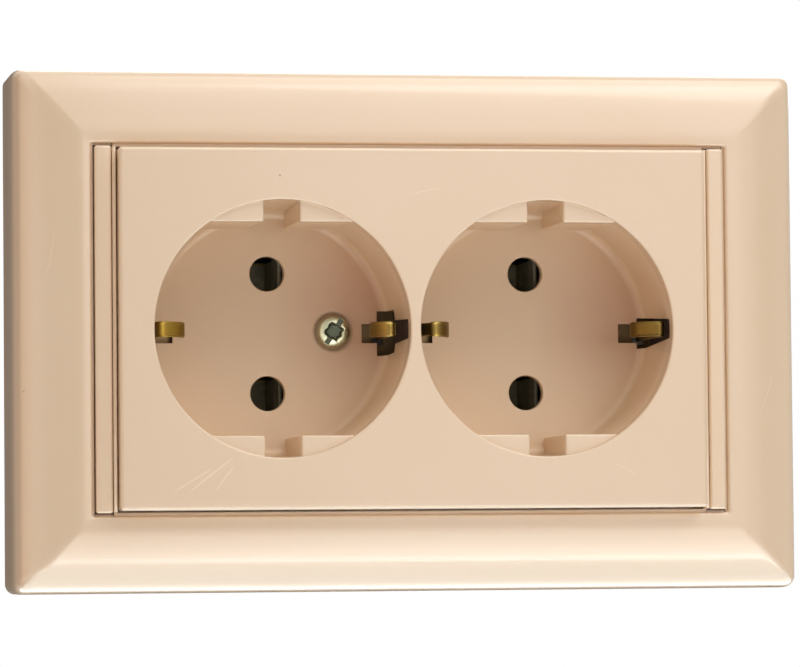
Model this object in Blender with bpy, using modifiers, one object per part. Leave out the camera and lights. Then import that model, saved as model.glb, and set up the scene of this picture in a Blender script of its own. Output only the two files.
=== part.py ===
"""Twin earthed wall outlet (two 4.8 mm round-pin sockets with side earth clips on one 60 mm wall box).

World frame: metres, +Z up, +X to the right of a person who faces the outlet, -Y out of the wall.
The origin is the centre of the wall plane, so the front stands at negative Y and the mechanism
that goes into the wall box is at positive Y.

Sizes are in millimetres. Most shapes are drawn in a front frame: x to the right, y up and
z = height h in front of the wall. Heights behind the wall plane are negative.
"""
import math

import bmesh
import bpy
from mathutils import Matrix, Vector

MM = 0.001

# ---------------------------------------------------------------- shared dimensions
FACE_H = 22.7                    # socket face in front of the wall
FACE_W, FACE_T = 92.6, 56.2      # socket face, width and height
LIP_H0, LIP_H1 = 13.0, 14.5      # back and front of the ledge inside the cover frame
SEAT_H = LIP_H1 + 0.3            # back of the trim strips and the socket cover

WELL_X = 41.7 / 2                # well centres either side of the middle
FLOOR_H, FLOOR_BACK = 4.9, 3.3   # front and back of the well floor
PIN_Y = 19.0 / 2                 # pins above and below the well centre

SCREW_X, SCREW_Y = -10.35, 0.3   # cover screw
RIVET_X = 10.2
RIVET_HOLE_R = 1.8
CAP_SCREW_X = 20.5
CAP_SCREW_HOLE_R = 1.3
CLAW_Y = 20.0                    # claw screws

BASE_R, BASE_X, BASE_Y = 28.4, 26.0, 24.0    # contact base: radius and its flats
BASE_BACK = -20.0
SPRING_HALF = 0.25               # half thickness of the spring strip
OVERCUT = 1.0                    # how far a cutter runs past the face it opens

SIGNS = (-1, 1)
SIDES = (("left", -1), ("right", 1))
VERTICALS = (("upper", 1), ("lower", -1))
POLES = (("line", 1), ("neutral", -1))       # name, and 1 above or -1 below the middle
WELLS = (-WELL_X, WELL_X)
PINS = [(x, side * PIN_Y) for x in WELLS for side in SIGNS]
# Earth clips: well centre, side of it, and whether the clip is at the outer or inner wall
CLIP_SITES = [(x, side, "outer" if x * side > 0 else "inner") for x in WELLS for side in SIGNS]
# Terminals: name, y, half sizes of the window in the rear cap, half width of the clamp plate
TERMINALS = (
    ("line", PIN_Y, 7.0, 3.2, 6.0),
    ("neutral", -PIN_Y, 7.0, 3.2, 6.0),
    ("earth", 0.0, 5.5, 3.1, 4.6),
)

# ---------------------------------------------------------------- scene
for old in list(bpy.data.objects):
    bpy.data.objects.remove(old, do_unlink=True)

parts = bpy.data.collections.new("twin_wall_outlet")
cutters = bpy.data.collections.new("cutters")
bpy.context.scene.collection.children.link(parts)
bpy.context.scene.collection.children.link(cutters)

# Drawing frames: what local x, y and z stand for
FRONT = Matrix.Rotation(math.pi / 2, 4, "X")     # x, up, h
SIDE = Matrix.Rotation(math.pi, 4, "X")          # x, h, down
ACROSS = Matrix(((0, 0, 1, 0), (0, -1, 0, 0), (1, 0, 0, 0), (0, 0, 0, 1)))   # up, h, x


def material(name, colour, roughness, metallic=0.0):
    made = bpy.data.materials.new(name)
    made.use_nodes = True
    inputs = made.node_tree.nodes["Principled BSDF"].inputs
    inputs["Base Color"].default_value = (*colour, 1.0)
    inputs["Roughness"].default_value = roughness
    inputs["Metallic"].default_value = metallic
    made.diffuse_color = (*colour, 1.0)
    return made


IVORY = material("ivory_gloss_plastic", (0.76, 0.60, 0.43), roughness=0.28)
IVORY_TRIM = material("ivory_trim_plastic", (0.78, 0.62, 0.45), roughness=0.25)
BRASS = material("spring_brass", (0.50, 0.36, 0.10), roughness=0.35, metallic=1.0)
BRASS_BAR = material("busbar_brass", (0.60, 0.44, 0.16), roughness=0.38, metallic=1.0)
ZINC = material("zinc_plated_steel", (0.60, 0.60, 0.48), roughness=0.35, metallic=1.0)
STEEL = material("galvanised_steel", (0.55, 0.56, 0.56), roughness=0.42, metallic=1.0)
BASE = material("dark_thermoset", (0.06, 0.054, 0.05), roughness=0.50)
CAP = material("grey_thermoset", (0.16, 0.155, 0.15), roughness=0.55)


# ---------------------------------------------------------------- objects and modifiers
def new_object(name, mesh, collection, at=(0.0, 0.0, 0.0)):
    """Object from a mesh in world metres; its origin goes to `at`, in the front frame."""
    x, up, h = at
    ob = bpy.data.objects.new(name, mesh)
    world = Matrix.Translation(Vector((x, -h, up)) * MM) @ FRONT
    mesh.transform(world.inverted())
    ob.matrix_world = world
    collection.objects.link(ob)
    return ob


def piece(name, mesh, mat, at=(0.0, 0.0, 0.0), smooth=None):
    """Visible part; `smooth` is the angle in degrees above which an edge stays sharp."""
    ob = new_object(name, mesh, parts, at)
    mesh.materials.append(mat)
    if smooth:
        mesh.shade_smooth()
        mesh.set_sharp_from_angle(angle=math.radians(smooth))
    return ob


def cut(ob, name, mesh, operation="DIFFERENCE"):
    """Boolean with a hidden helper object of the same name."""
    helper = new_object(name, mesh, cutters)
    helper.hide_render = True
    helper.display_type = "WIRE"
    boolean = ob.modifiers.new(name, "BOOLEAN")
    boolean.operation = operation
    boolean.solver = "EXACT"
    boolean.object = helper


def add(ob, name, mesh):
    cut(ob, name, mesh, "UNION")


def bevel(ob, width):
    edges = ob.modifiers.new("edges", "BEVEL")
    edges.width = width * MM
    edges.segments = 2


# ---------------------------------------------------------------- meshes
def world_mesh(bm, frame=FRONT):
    bmesh.ops.recalc_face_normals(bm, faces=bm.faces)
    mesh = bpy.data.meshes.new("shape")
    bm.to_mesh(mesh)
    bm.free()
    mesh.transform(frame)
    return mesh


def box(bm, x0, x1, y0, y1, z0, z1):
    size = Vector((x1 - x0, y1 - y0, z1 - z0)) * MM
    middle = Vector((x0 + x1, y0 + y1, z0 + z1)) * (MM / 2)
    matrix = Matrix.Translation(middle) @ Matrix.Diagonal((*size, 1.0))
    bmesh.ops.create_cube(bm, size=1.0, matrix=matrix)


def boxes(*specs):
    """Mesh of boxes, each given as x0, x1, y0, y1, z0, z1."""
    bm = bmesh.new()
    for spec in specs:
        box(bm, *spec)
    return world_mesh(bm)


def around(x, y, half_x, half_y, z0, z1):
    """Box spec centred on x, y."""
    return (x - half_x, x + half_x, y - half_y, y + half_y, z0, z1)


def span(sign, near, far, centre=0.0):
    """Ordered pair of places at two distances from the centre, on the side of the sign."""
    return sorted((centre + sign * near, centre + sign * far))


def cylinders(*specs):
    """Mesh of cylinders, each given as x, y, radius, z0, z1, segments."""
    bm = bmesh.new()
    for x, y, radius, z0, z1, segments in specs:
        bmesh.ops.create_cone(bm, cap_ends=True, segments=segments, radius1=radius * MM,
                              radius2=radius * MM, depth=(z1 - z0) * MM,
                              matrix=Matrix.Translation(Vector((x, y, (z0 + z1) / 2)) * MM))
    return world_mesh(bm)


def evaluated_bmesh(ob):
    """Welded result of a temporary object, which is removed."""
    bpy.context.scene.collection.objects.link(ob)
    bpy.context.view_layer.update()
    depsgraph = bpy.context.evaluated_depsgraph_get()
    mesh = bpy.data.meshes.new_from_object(ob.evaluated_get(depsgraph))
    bpy.data.objects.remove(ob, do_unlink=True)
    bm = bmesh.new()
    bm.from_mesh(mesh)
    bpy.data.meshes.remove(mesh)
    bmesh.ops.remove_doubles(bm, verts=bm.verts, dist=2e-6)
    return bm


def flat(loops, z0, z1, frame=FRONT):
    """Flat piece from closed outlines (the first is the edge, the rest are holes)."""
    curve = bpy.data.curves.new("outline", "CURVE")
    curve.dimensions = "2D"
    curve.fill_mode = "BOTH"
    curve.extrude = (z1 - z0) / 2 * MM
    for loop in loops:
        spline = curve.splines.new("POLY")
        spline.points.add(len(loop) - 1)
        for point, (x, y) in zip(spline.points, loop):
            point.co = (x * MM, y * MM, 0.0, 1.0)
        spline.use_cyclic_u = True
    bm = evaluated_bmesh(bpy.data.objects.new("outline", curve))
    bmesh.ops.translate(bm, verts=bm.verts, vec=(0, 0, (z0 + z1) / 2 * MM))
    return world_mesh(bm, frame)


def turned(profile, steps, x=0.0, y=0.0, closed=False):
    """Turned piece about x, y: the profile (radius, h) runs down its outer side from the front."""
    bm = bmesh.new()
    verts = [bm.verts.new((radius * MM, 0.0, h * MM)) for radius, h in profile]
    for pair in zip(verts, verts[1:]):
        bm.edges.new(pair)
    if closed:
        bm.edges.new((verts[-1], verts[0]))
    mesh = bpy.data.meshes.new("profile")
    bm.to_mesh(mesh)
    bm.free()
    ob = bpy.data.objects.new("profile", mesh)
    sweep = ob.modifiers.new("turn", "SCREW")
    sweep.steps = sweep.render_steps = steps
    sweep.use_merge_vertices = True
    sweep.merge_threshold = 1e-6
    bm = evaluated_bmesh(ob)
    bmesh.ops.translate(bm, verts=bm.verts, vec=(x * MM, y * MM, 0.0))
    return world_mesh(bm)


def joined(meshes):
    bm = bmesh.new()
    for mesh in meshes:
        bm.from_mesh(mesh)
        bpy.data.meshes.remove(mesh)
    result = bpy.data.meshes.new("joined")
    bm.to_mesh(result)
    bm.free()
    return result


# ---------------------------------------------------------------- outlines
def placed(points, x=0.0, y=0.0, flip=1):
    """Points moved by x, y, after a mirror in x if flip is -1."""
    return [(x + flip * px, y + py) for px, py in points]


def rounded_rect(half_x, half_y, radius, steps):
    points = []
    in_x, in_y = half_x - radius, half_y - radius
    for x, y, start in ((in_x, in_y, 0), (-in_x, in_y, 90), (-in_x, -in_y, 180), (in_x, -in_y, 270)):
        for i in range(steps + 1):
            angle = math.radians(start + 90.0 * i / steps)
            points.append((x + radius * math.cos(angle), y + radius * math.sin(angle)))
    return points


def rect(x, y, half_x, half_y):
    x0, x1, y0, y1 = x - half_x, x + half_x, y - half_y, y + half_y
    return [(x0, y0), (x1, y0), (x1, y1), (x0, y1)]


def circle(x, y, radius, steps):
    angles = [2 * math.pi * i / steps for i in range(steps)]
    return [(x + radius * math.cos(angle), y + radius * math.sin(angle)) for angle in angles]


def slot(x, y, upright, half_w=1.8, half_l=4.5, steps=6):
    """Slot with round ends; half_l is half its length over the ends."""
    points = []
    for sign, start in ((1, 0), (-1, 180)):
        for i in range(steps + 1):
            angle = math.radians(start + 180.0 * i / steps)
            across = half_w * math.cos(angle)
            along = sign * (half_l - half_w) + half_w * math.sin(angle)
            points.append((x + across, y + along) if upright else (x + along, y - across))
    return points


def arc(radius, start, end, steps=6):
    angles = [start + (end - start) * i / steps for i in range(steps + 1)]
    return [(radius * math.cos(angle), radius * math.sin(angle)) for angle in angles]


def clipped_circle(radius, flat_x, flat_y):
    """Circle with flats at x = +-flat_x and y = +-flat_y."""
    quarter = arc(radius, math.acos(flat_x / radius), math.asin(min(1.0, flat_y / radius)))
    points = list(quarter)
    points += [(-x, y) for x, y in reversed(quarter)]
    points += [(-x, -y) for x, y in quarter]
    points += [(x, -y) for x, y in reversed(quarter)]
    return points


def strip_outline(path, half, bead=None):
    """Side view of a bent strip: the centre path thickened by half on both sides.
    With a bead radius the first end is a round bead."""
    points = [Vector(p) for p in path]
    runs = [(end - start).normalized() for start, end in zip(points, points[1:])]
    left, right = [], []
    for point, before, after in zip(points, runs[:1] + runs, runs + runs[-1:]):
        along = (before + after).normalized()
        mitre = Vector((-along.y, along.x)) * (half / max(0.35, along.dot(after)))
        left.append(point + mitre)
        right.append(point - mitre)
    if bead is None:
        return [tuple(p) for p in right + left[::-1]]
    heading = math.atan2(runs[0].y, runs[0].x)
    gap = math.asin(half / bead)
    rim = []
    for i in range(11):
        angle = heading + gap + (2 * math.pi - 2 * gap) * i / 10
        rim.append(points[0] + Vector((math.cos(angle), math.sin(angle))) * bead)
    return [tuple(p) for p in rim + right[1:] + left[:0:-1]]


# ---------------------------------------------------------------- screws
def screw(name, profile, steps, at, facing, drive, turn):
    """Screw with its origin at `at` and its head to the front (facing 1) or the back (-1).
    The drive is a slot and a shorter, deeper cross slot: half length, width and depth."""
    x, y, _ = at
    ob = piece(name, turned(profile, steps, x, y), ZINC, at, smooth=35)
    head_h = profile[0 if facing > 0 else -1][1]
    half, width, depth = drive
    for label, reach, deep, extra in (("_slot", half, depth, 0.0),
                                      ("_cross", half * 0.62, depth * 1.25, 90.0)):
        bm = bmesh.new()
        box(bm, -reach, reach, -width / 2, width / 2, *sorted((head_h - facing * deep,
                                                               head_h + facing * 0.5)))
        rotation = Matrix.Rotation(math.radians(turn + extra), 4, "Z")
        matrix = Matrix.Translation(Vector((x, y, 0)) * MM) @ rotation
        bmesh.ops.transform(bm, matrix=matrix, verts=bm.verts)
        cut(ob, name + label, world_mesh(bm))


# ---------------------------------------------------------------- cover frame and trim strips
OPEN_W, OPEN_T = 100.5, 57.8     # opening of the cover frame
LIP_W, LIP_T = 88.8, 52.4        # aperture in the ledge behind the opening
BAR = 12.0                       # width of a frame bar
# Section of a frame bar: distance outward from the opening, h
FRAME_OUTER = [
    (0.0, 19.3), (0.3, 19.6), (3.0, 19.5), (6.0, 19.1), (8.5, 18.5), (10.2, 17.7),
    (11.1, 16.8), (11.6, 15.6), (11.85, 14.0), (11.95, 12.1), (BAR, 9.6), (BAR, 0.0),
]
FRAME_INNER = [
    (10.2, 0.0), (10.2, 10.5), (9.9, 14.6), (8.9, 16.2), (6.0, 17.2), (1.6, 17.7), (1.6, LIP_H0),
]
STRIP_X, STRIP_W, STRIP_T, STRIP_H = 48.5, 2.6, 56.9, 20.3   # place, width, length, front


def build_cover_frame():
    """Closed loft through rounded rectangles; the last one joins the first."""
    half_x, half_y = OPEN_W / 2, OPEN_T / 2
    # half width, half height, corner radius, h
    rings = [(half_x + out, half_y + out, 0.4 + 0.15 * out, h) for out, h in FRAME_OUTER]
    rings += [(half_x + out, half_y + out, 0.3 + 0.06 * out, h) for out, h in FRAME_INNER]
    rings += [(LIP_W / 2, LIP_T / 2, 0.6, LIP_H0), (LIP_W / 2, LIP_T / 2, 0.6, LIP_H1),
              (half_x, half_y, 0.4, LIP_H1)]
    bm = bmesh.new()
    loops = []
    for ring_x, ring_y, radius, h in rings:
        outline = rounded_rect(ring_x, ring_y, radius, 4)
        loops.append([bm.verts.new((x * MM, y * MM, h * MM)) for x, y in outline])
    for loop, following in zip(loops, loops[1:] + loops[:1]):
        for i in range(len(loop)):
            j = (i + 1) % len(loop)
            bm.faces.new((loop[i], loop[j], following[j], following[i]))
    piece("cover_frame", world_mesh(bm), IVORY, smooth=40)


def build_trim_strips():
    for side, sign in SIDES:
        x = sign * STRIP_X
        mesh = boxes(around(x, 0.0, STRIP_W / 2, STRIP_T / 2, SEAT_H, STRIP_H))
        bevel(piece("trim_strip_" + side, mesh, IVORY_TRIM, at=(x, 0.0, LIP_H1)), 0.35)


# ---------------------------------------------------------------- socket cover
COVER_WALL, COVER_FRONT = 1.6, 2.0   # thickness of the sides and of the front
WELL_R, RIM_R = 19.5, 20.05          # well, and its widened mouth
CUP_R = 21.1                         # outside of the cup round each well
KEY_Y, KEY_NOTCH, KEY_H = 16.6, 5.7, 21.9    # guide key: chord, centre notch, front
PIN_HOLE_R = 2.75
WELL_PROFILE = [   # radius, h
    (0.0, FACE_H + OVERCUT), (RIM_R, FACE_H + OVERCUT), (RIM_R, FACE_H - 0.02),
    (RIM_R - 0.2, FACE_H - 0.22), (WELL_R + 0.05, FACE_H - 0.6), (WELL_R, FACE_H - 1.0),
    (WELL_R, FLOOR_H), (0.0, FLOOR_H),
]
COUNTERBORE = [    # radius, h
    (0.0, FLOOR_H + 0.5), (3.4, FLOOR_H + 0.5), (3.4, FLOOR_H - 0.6), (1.8, FLOOR_H - 0.6),
    (1.8, FLOOR_BACK - OVERCUT), (0.0, FLOOR_BACK - OVERCUT),
]


def half_key(well_x, sign_x, sign_y):
    """Half of a guide key: the piece of a circle beyond the chord, on one side of the notch."""
    radius = WELL_R + 0.7        # reaches into the well wall
    rim = arc(radius, math.asin(KEY_Y / radius), math.acos((KEY_NOTCH / 2) / radius))
    outline = [(well_x + sign_x * x, sign_y * y) for x, y in [(KEY_NOTCH / 2, KEY_Y)] + rim]
    return flat([outline], FLOOR_H - 0.5, KEY_H)


def floor_slots(near, far, half_widths):
    """Slot in the well floor at each clip, between two distances from the well centre."""
    return boxes(*[(*span(side, near, far, x), -half_widths[kind], half_widths[kind],
                    FLOOR_BACK - OVERCUT, FLOOR_H + 0.2) for x, side, kind in CLIP_SITES])


def wall_pockets(near, far, top_half, floor_halves):
    """Slots in the well walls that are wider at the floor than under the face."""
    h0, h1 = FLOOR_H - 0.4, FACE_H - COVER_FRONT
    meshes = []
    for x, side, kind in CLIP_SITES:
        low = floor_halves[kind]
        outline = [(-low, h0), (low, h0), (top_half, h1), (-top_half, h1)]
        meshes.append(flat([outline], *span(side, near, far, x), ACROSS))
    return joined(meshes)


def build_socket_cover():
    half_x, half_y = FACE_W / 2, FACE_T / 2
    cover = piece("socket_cover", boxes(around(0.0, 0.0, half_x, half_y, SEAT_H, FACE_H)), IVORY)
    bevel(cover, 0.5)
    cut(cover, "cover_hollow", boxes(around(0.0, 0.0, half_x - COVER_WALL, half_y - COVER_WALL,
                                            LIP_H1 - OVERCUT, FACE_H - COVER_FRONT)))
    for side, sign in SIDES:
        add(cover, "cup_" + side, cylinders((sign * WELL_X, 0.0, CUP_R, FLOOR_BACK, FACE_H - 1.2, 48)))
    cut(cover, "wells", joined([turned(WELL_PROFILE, 48, x) for x in WELLS]))
    add(cover, "guide_keys", joined([half_key(x, sign_x, sign_y)
                                     for x in WELLS for sign_x in SIGNS for sign_y in SIGNS]))
    # pin holes, a blind recess over the rivet head, and the counterbored screw hole
    back = FLOOR_BACK - OVERCUT
    holes = cylinders(*[(x, y, PIN_HOLE_R, back, FLOOR_H + OVERCUT, 20) for x, y in PINS],
                      (RIVET_X, 0.0, 3.1, back, FLOOR_BACK + 0.8, 20))
    counterbore = turned(COUNTERBORE, 24, SCREW_X, SCREW_Y)
    cut(cover, "floor_holes", joined([holes, counterbore]))
    cut(cover, "clip_slot_upright", floor_slots(17.6, 20.55, {"outer": 2.45, "inner": 3.55}))
    cut(cover, "clip_slot_inward", floor_slots(14.2, 17.9, {"outer": 1.5, "inner": 1.5}))
    cut(cover, "clip_pocket", wall_pockets(18.2, 20.5, 1.5, {"outer": 2.45, "inner": 2.05}))


# ---------------------------------------------------------------- cover screw
COVER_SCREW = [    # radius, h
    (0.0, 6.6), (1.3, 6.55), (2.1, 6.3), (2.65, 5.75), (2.65, 5.0), (1.45, 5.0), (1.45, -7.2),
    (0.9, -8.0), (0.0, -8.0),
]
SLEEVE_R0, SLEEVE_R1 = 1.75, 2.5     # bore and outside of the washer and the insert
# name, front, back, height of the origin, material
SLEEVES = (("washer", 4.85, 4.45, 4.65, ZINC), ("insert", 1.9, -8.8, 0.0, BRASS_BAR))


def build_cover_screw():
    screw("cover_screw", COVER_SCREW, 20, (SCREW_X, SCREW_Y, 5.0), facing=1,
          drive=(3.0, 0.8, 1.0), turn=57.0)
    for name, front, back, origin_h, mat in SLEEVES:
        profile = [(SLEEVE_R0, front), (SLEEVE_R1, front), (SLEEVE_R1, back), (SLEEVE_R0, back)]
        mesh = turned(profile, 20, SCREW_X, SCREW_Y, closed=True)
        piece("cover_screw_" + name, mesh, mat, at=(SCREW_X, SCREW_Y, origin_h))


# ---------------------------------------------------------------- earth clips, strap and rivet
# Each clip rises beside the wall of its well, folds over near the face and slants inward to its
# contact bend. Centre path from the root bead: distance from the well centre, h.
ROOT_H = 2.65
CLIP_PATHS = {
    "outer": [(18.8, ROOT_H), (18.8, 4.4), (18.9, 11.0), (19.05, 18.4), (18.85, 19.3),
              (18.35, 19.75), (17.75, 19.6), (16.4, 18.6), (15.1, 17.2), (14.8, 16.5),
              (14.85, 15.7), (15.5, 14.3)],
    "inner": [(18.0, ROOT_H), (18.0, 4.4), (17.95, 11.0), (17.95, 18.6), (17.8, 19.4),
              (17.4, 19.8), (16.9, 19.65), (16.0, 18.7), (15.0, 17.2), (14.8, 16.5),
              (14.85, 15.7), (15.45, 14.3)],
}
CLIP_HALF, BEAD_R = 1.2, 0.5         # half width of a clip, radius of its root bead
STRAP_H0, STRAP_H1 = 2.4, 3.0
STRAP_X, STRAP_Y = 41.9, 4.0         # half sizes
RIVET = [          # radius, h
    (0.0, 3.8), (1.8, 3.7), (2.5, 3.4), (2.5, 3.15), (1.5, 3.15), (1.5, -16.1), (2.5, -16.1),
    (2.5, -16.6), (0.0, -16.8),
]


def build_earth_parts():
    strap_loops = [rounded_rect(STRAP_X, STRAP_Y, 1.0, 3)]
    for x, side, kind in CLIP_SITES:
        path = CLIP_PATHS[kind]
        root_x = x + side * path[0][0]
        outline = strip_outline(placed(path, x, flip=side), SPRING_HALF, BEAD_R)
        piece("earth_clip_%s_%s" % ("left" if x < 0 else "right", kind),
              flat([outline], -CLIP_HALF, CLIP_HALF, SIDE), BRASS,
              at=(root_x, 0.0, ROOT_H), smooth=50)
        strap_loops.append(rect(root_x, 0.0, 0.9, 1.7))
    strap_loops += [circle(SCREW_X, SCREW_Y, 2.0, 18), circle(RIVET_X, 0.0, RIVET_HOLE_R, 18)]
    piece("earth_strap", flat(strap_loops, STRAP_H0, STRAP_H1), BRASS_BAR)
    piece("earth_rivet", turned(RIVET, 18, RIVET_X), BRASS_BAR, at=(RIVET_X, 0.0, 0.0), smooth=35)


# ---------------------------------------------------------------- steel mounting plate
PLATE_X, PLATE_Y, PLATE_T = 46.0, 35.5, 0.8      # half sizes and thickness
FIX_R = 60.0 / 2                 # fixing slots from the centre
CORNER_HOLE, CORNER_HOLE_R = 29.5, 2.1           # place in x and y, radius
PAD_H0, PAD_H1 = 0.4, 1.15


def build_mounting_plate():
    pad_slots = {sign: slot(0.0, sign * FIX_R, upright=False) for sign in SIGNS}
    loops = [rounded_rect(PLATE_X, PLATE_Y, 4.0, 4),
             clipped_circle(BASE_R + 0.5, BASE_X + 0.5, BASE_Y + 0.5)]
    loops += [slot(sign * FIX_R, 0.0, upright=True) for sign in SIGNS]
    loops += pad_slots.values()
    loops += [circle(sign_x * CORNER_HOLE, sign_y * CORNER_HOLE, CORNER_HOLE_R, 16)
              for sign_x in SIGNS for sign_y in SIGNS]
    plate = piece("mounting_plate", flat(loops, 0.0, PLATE_T), STEEL)
    for name, sign in reversed(VERTICALS):
        # raised pad for the head of a box screw
        pad = placed(rounded_rect(7.5, 4.5, 1.2, 4), y=sign * (FIX_R + 0.4))
        add(plate, "mounting_plate_pad_" + name, flat([pad, pad_slots[sign]], PAD_H0, PAD_H1))


# ---------------------------------------------------------------- contact base
BASE_FRONT = 1.6
FLANGE_H0, FLANGE_H1 = 1.1, 2.0
OPEN_FRONT, OPEN_BACK = 3.0, BASE_BACK - OVERCUT     # beyond the base on both sides
JAW_POCKET_BACK = -14.6
TROUGH_FRONT = -14.0
NUT_POCKET = (-14.5, -9.4)       # back, front


def build_contact_base():
    base = piece("contact_base", flat([clipped_circle(BASE_R, BASE_X, BASE_Y)],
                                      BASE_BACK, BASE_FRONT), BASE)
    flange = clipped_circle(BASE_R + 1.5, BASE_X + 1.5, BASE_Y + 1.5)
    add(base, "base_flange", flat([flange], FLANGE_H0, FLANGE_H1))
    cut(base, "jaw_pockets", boxes(*[around(x, y, 3.5, 3.4, JAW_POCKET_BACK, OPEN_FRONT)
                                     for x, y in PINS]))
    cut(base, "busbar_troughs", boxes(
        *[around(0.0, sign * PIN_Y, 24.2, 3.3, OPEN_BACK, TROUGH_FRONT) for _, sign in POLES],
        (-7.5, 14.3, -3.4, 3.4, OPEN_BACK, TROUGH_FRONT)))
    cut(base, "nut_pockets", boxes(
        *[around(0.0, sign * PIN_Y, 3.4, 3.2, *NUT_POCKET) for _, sign in POLES],
        around(0.0, 0.0, 3.2, 3.2, *NUT_POCKET)))
    cut(base, "claw_notches", boxes(*[(-5.6, 5.6, *span(sign, 15.6, 27.0), OPEN_BACK, -2.4)
                                      for sign in SIGNS]))
    cut(base, "base_holes", cylinders(
        (RIVET_X, 0.0, RIVET_HOLE_R, JAW_POCKET_BACK, OPEN_FRONT, 18),
        *[(0.0, sign * CLAW_Y, 1.9, -3.0, OPEN_FRONT, 18) for _, sign in VERTICALS],
        (SCREW_X, SCREW_Y, 2.8, -9.3, OPEN_FRONT, 20),
        *[(sign * CAP_SCREW_X, 0.0, CAP_SCREW_HOLE_R, OPEN_BACK, -13.0, 14) for sign in SIGNS]))


# ---------------------------------------------------------------- rear cap and its screws
CAP_H0, CAP_H1 = -21.8, -20.3
RIM_H0, RIM_H1 = -22.3, -21.0    # raised rims round the windows
CAP_SCREW = [      # radius, h
    (0.0, -14.0), (1.0, -14.5), (1.0, -21.95), (2.2, -21.95), (2.2, -22.4), (1.7, -22.7),
    (0.0, -22.7),
]


def build_rear_cap():
    # windows where the wires enter
    windows = {name: rect(0.0, y, half_x, half_y) for name, y, half_x, half_y, _ in TERMINALS}
    loops = [clipped_circle(28.2, 25.8, 15.2), *windows.values()]
    loops += [circle(sign * CAP_SCREW_X, 0.0, CAP_SCREW_HOLE_R, 14) for sign in SIGNS]
    cap = piece("rear_cap", flat(loops, CAP_H0, CAP_H1), CAP)
    for name, y, half_x, half_y, _ in TERMINALS:
        rim = placed(rounded_rect(half_x + 1.4, half_y + 0.85, 0.5, 2), y=y)
        add(cap, "rear_cap_rim_" + name, flat([rim, windows[name]], RIM_H0, RIM_H1))
    for side, sign in SIDES:
        screw("rear_cap_screw_" + side, CAP_SCREW, 16, (sign * CAP_SCREW_X, 0.0, -20.0),
              facing=-1, drive=(1.5, 0.5, 0.5), turn=30.0 * sign)


# ---------------------------------------------------------------- busbars, pin jaws, terminals
BUS_BACK, BUS_FRONT = -15.8, -15.0
BUS_HALF_Y = 2.9
TERMINAL_HOLE_R = 1.7
JAW_HALF_Y = 2.6                 # half width of a jaw strip
# Left half of the U-shaped jaw: x from the pin, h
JAW_LEFT = [(-2.8, -0.8), (-2.3, -2.6), (-2.35, -7.0), (-2.6, -12.6), (-2.6, -14.45)]
JAW_PATH = JAW_LEFT + [(-x, h) for x, h in reversed(JAW_LEFT)]
TERMINAL_SCREW = [  # radius, h
    (0.0, -11.2), (1.0, -11.2), (1.4, -11.7), (1.4, -18.2), (2.5, -18.2), (2.5, -19.8),
    (2.1, -20.2), (0.0, -20.2),
]


def drilled_plate(half_x, half_y, radius, y, back, front, x=0.0, more_holes=()):
    """Rounded plate centred on x, y with the terminal screw's hole at 0, y."""
    edge = placed(rounded_rect(half_x, half_y, radius, 2), x, y)
    return flat([edge, circle(0.0, y, TERMINAL_HOLE_R, 16), *more_holes], back, front)


def build_contacts():
    for pole, sign in POLES:
        bar = drilled_plate(23.6, BUS_HALF_Y, 0.6, sign * PIN_Y, BUS_BACK, BUS_FRONT)
        piece(pole + "_busbar", bar, BRASS_BAR)
        for side, sign_x in SIDES:
            outline = strip_outline(placed(JAW_PATH, sign_x * WELL_X), SPRING_HALF)
            down = -sign * PIN_Y
            jaw = flat([outline], down - JAW_HALF_Y, down + JAW_HALF_Y, SIDE)
            piece("pin_jaw_%s_%s" % (pole, side), jaw, BRASS)
    plate = drilled_plate(9.2, BUS_HALF_Y, 0.6, 0.0, BUS_BACK, BUS_FRONT, x=4.0,
                          more_holes=[circle(RIVET_X, 0.0, RIVET_HOLE_R, 16)])
    piece("earth_terminal_plate", plate, BRASS_BAR)


def build_terminals():
    for name, y, _, _, clamp_x in TERMINALS:
        clamp = drilled_plate(clamp_x, 2.7, 0.5, y, -18.0, -17.1)
        piece(name + "_clamp_plate", clamp, ZINC, at=(0.0, y, -17.5))
        piece(name + "_terminal_nut", drilled_plate(2.75, 2.75, 0.4, y, -14.7, -12.3), ZINC)
        screw(name + "_terminal_screw", TERMINAL_SCREW, 18, (0.0, y, -19.0), facing=-1,
              drive=(2.8, 0.6, 0.9), turn=35.0 + 40.0 * y / PIN_Y)


# ---------------------------------------------------------------- spreading claws
CLAW_ROOT_Y, CLAW_H = 16.9, -6.0
CLAW_PATH = [      # distance above or below the middle, h
    (CLAW_ROOT_Y, CLAW_H), (24.6, CLAW_H), (25.1, CLAW_H - 0.6), (25.2, -16.6), (25.7, -17.6),
    (27.0, -19.2),
]
CLAW_HALF_X = 4.5
GAP_X, GAP_HALF = (-2.25, 0.0, 2.25), 0.75       # gaps between the teeth
CLAW_SCREW = [     # radius, h
    (0.0, 4.3), (1.6, 4.25), (2.4, 3.95), (2.7, 3.4), (2.7, 2.3), (1.5, 2.3), (1.5, -11.6),
    (1.0, -12.2), (0.0, -12.2),
]


def build_claws():
    for name, sign in VERTICALS:
        outline = strip_outline(placed(CLAW_PATH, flip=sign), half=0.45, bead=0.75)
        claw = piece("claw_" + name, flat([outline], -CLAW_HALF_X, CLAW_HALF_X, ACROSS), STEEL,
                     at=(0.0, sign * CLAW_ROOT_Y, CLAW_H))
        cut(claw, "claw_slot_" + name, boxes((-2.0, 2.0, *span(sign, 18.0, 22.6),
                                              CLAW_H - 1.5, CLAW_H + 1.5)))
        cut(claw, "claw_teeth_" + name, boxes(*[
            (x - GAP_HALF, x + GAP_HALF, *span(sign, 26.0, 29.0), -21.5, -17.6) for x in GAP_X]))
        screw("claw_screw_" + name, CLAW_SCREW, 18, (0.0, sign * CLAW_Y, 2.3), facing=1,
              drive=(3.0, 0.8, 1.0), turn=20.0 * sign)


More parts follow.
